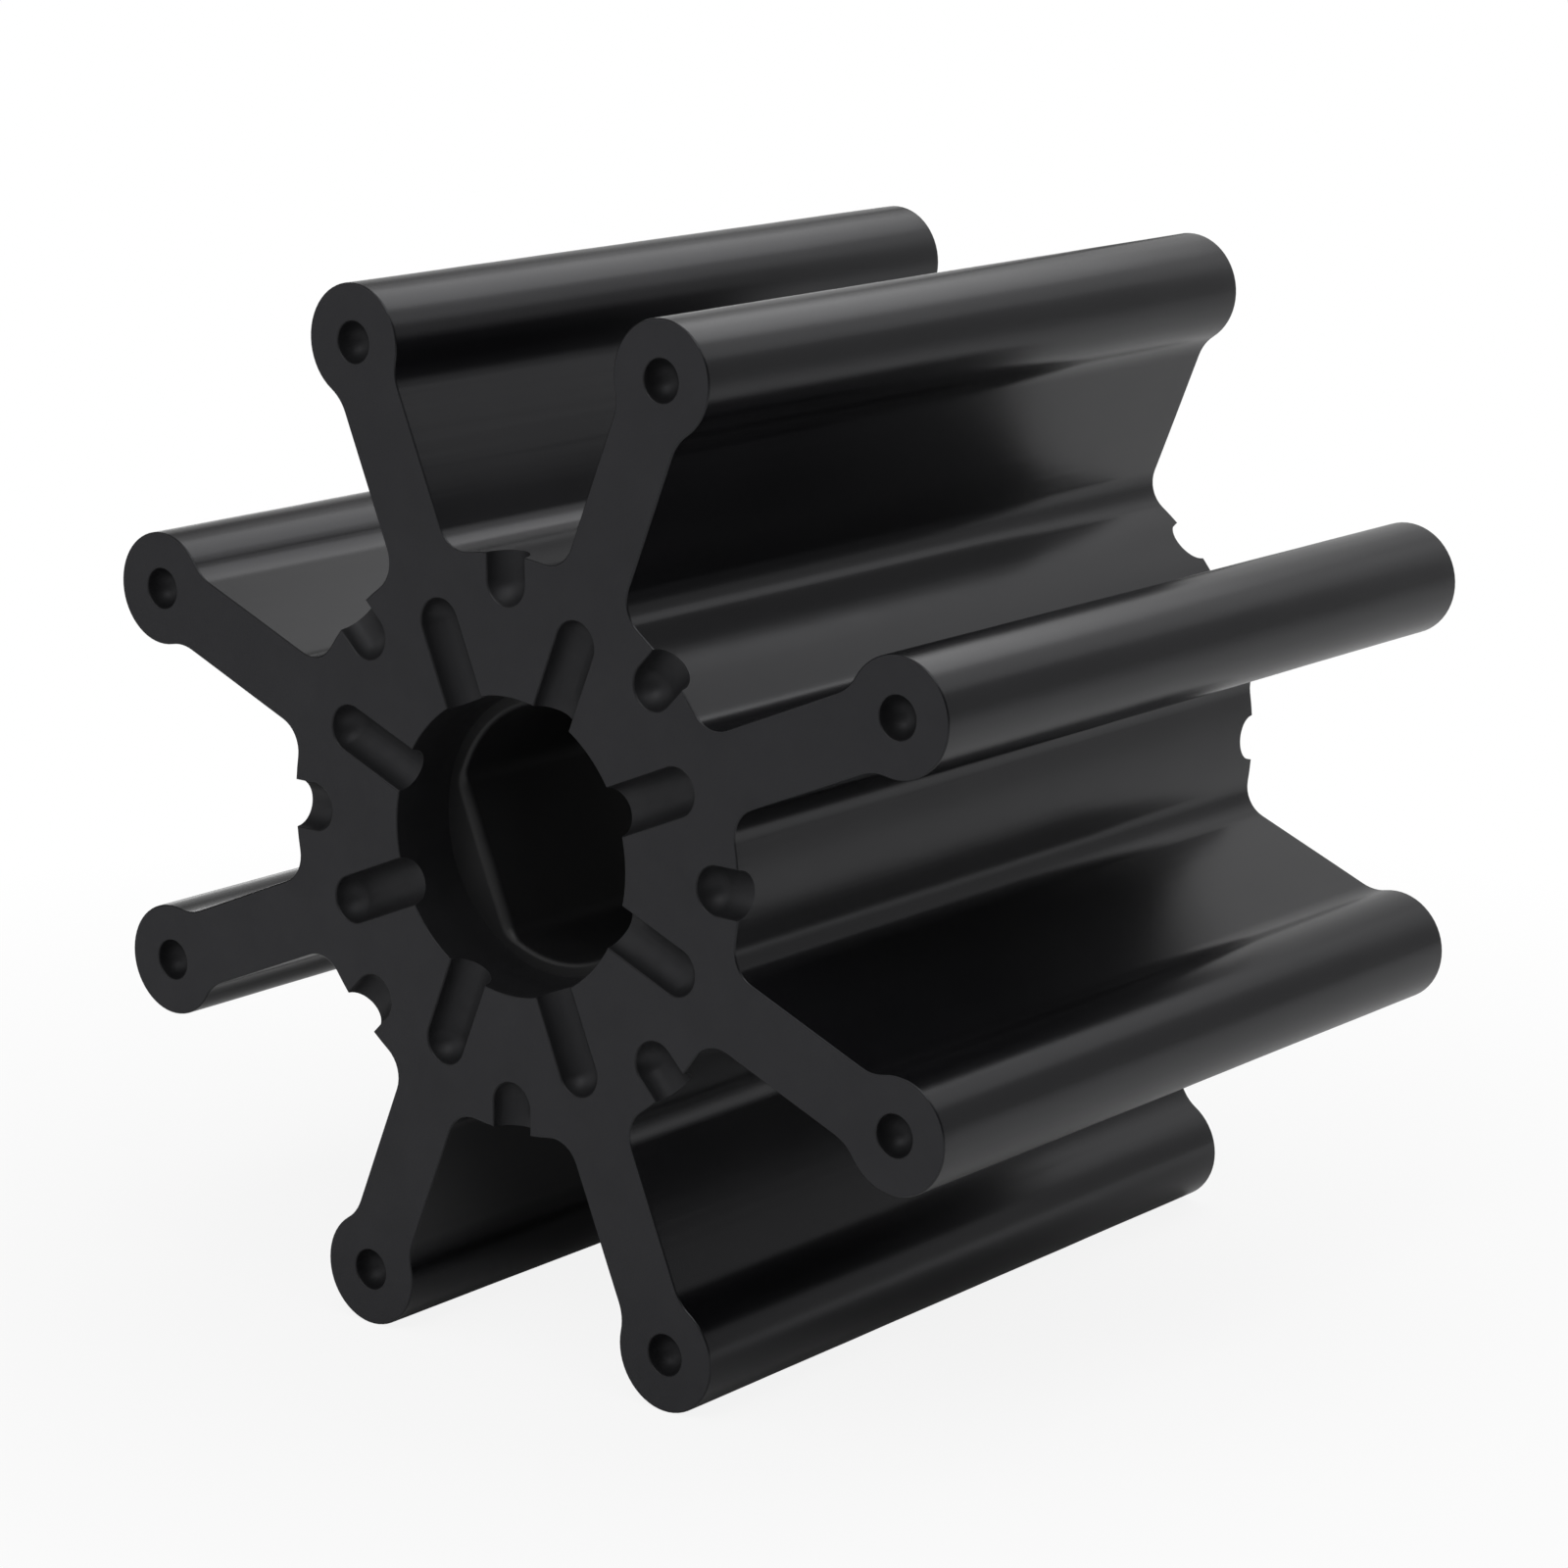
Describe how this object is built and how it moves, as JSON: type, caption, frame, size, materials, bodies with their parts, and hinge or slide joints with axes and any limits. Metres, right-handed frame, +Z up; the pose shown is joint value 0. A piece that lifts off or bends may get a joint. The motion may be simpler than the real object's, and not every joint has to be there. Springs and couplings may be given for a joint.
{
  "type": "rubber pump impeller",
  "caption": "Flexible rubber impeller of a cooling-water pump: a hub with straight radial vanes that end in round beads, moulded round a rigid insert with a D-shaped shaft bore.",
  "frame": {"origin": "on the shaft axis, half way between the two end faces", "axes": "+Y along the shaft axis from the front face to the back face, +Z up as the part stands on two vanes"},
  "size_m": [0.0788, 0.064, 0.0788],
  "materials": {
    "rubber": "black moulded rubber, semi-gloss on the vanes and matte on the end faces",
    "insert": "black moulded plastic, satin"
  },
  "bodies": {
    "root": {"rubber_body": "rubber", "drive_insert": "insert"}
  },
  "joints": []
}
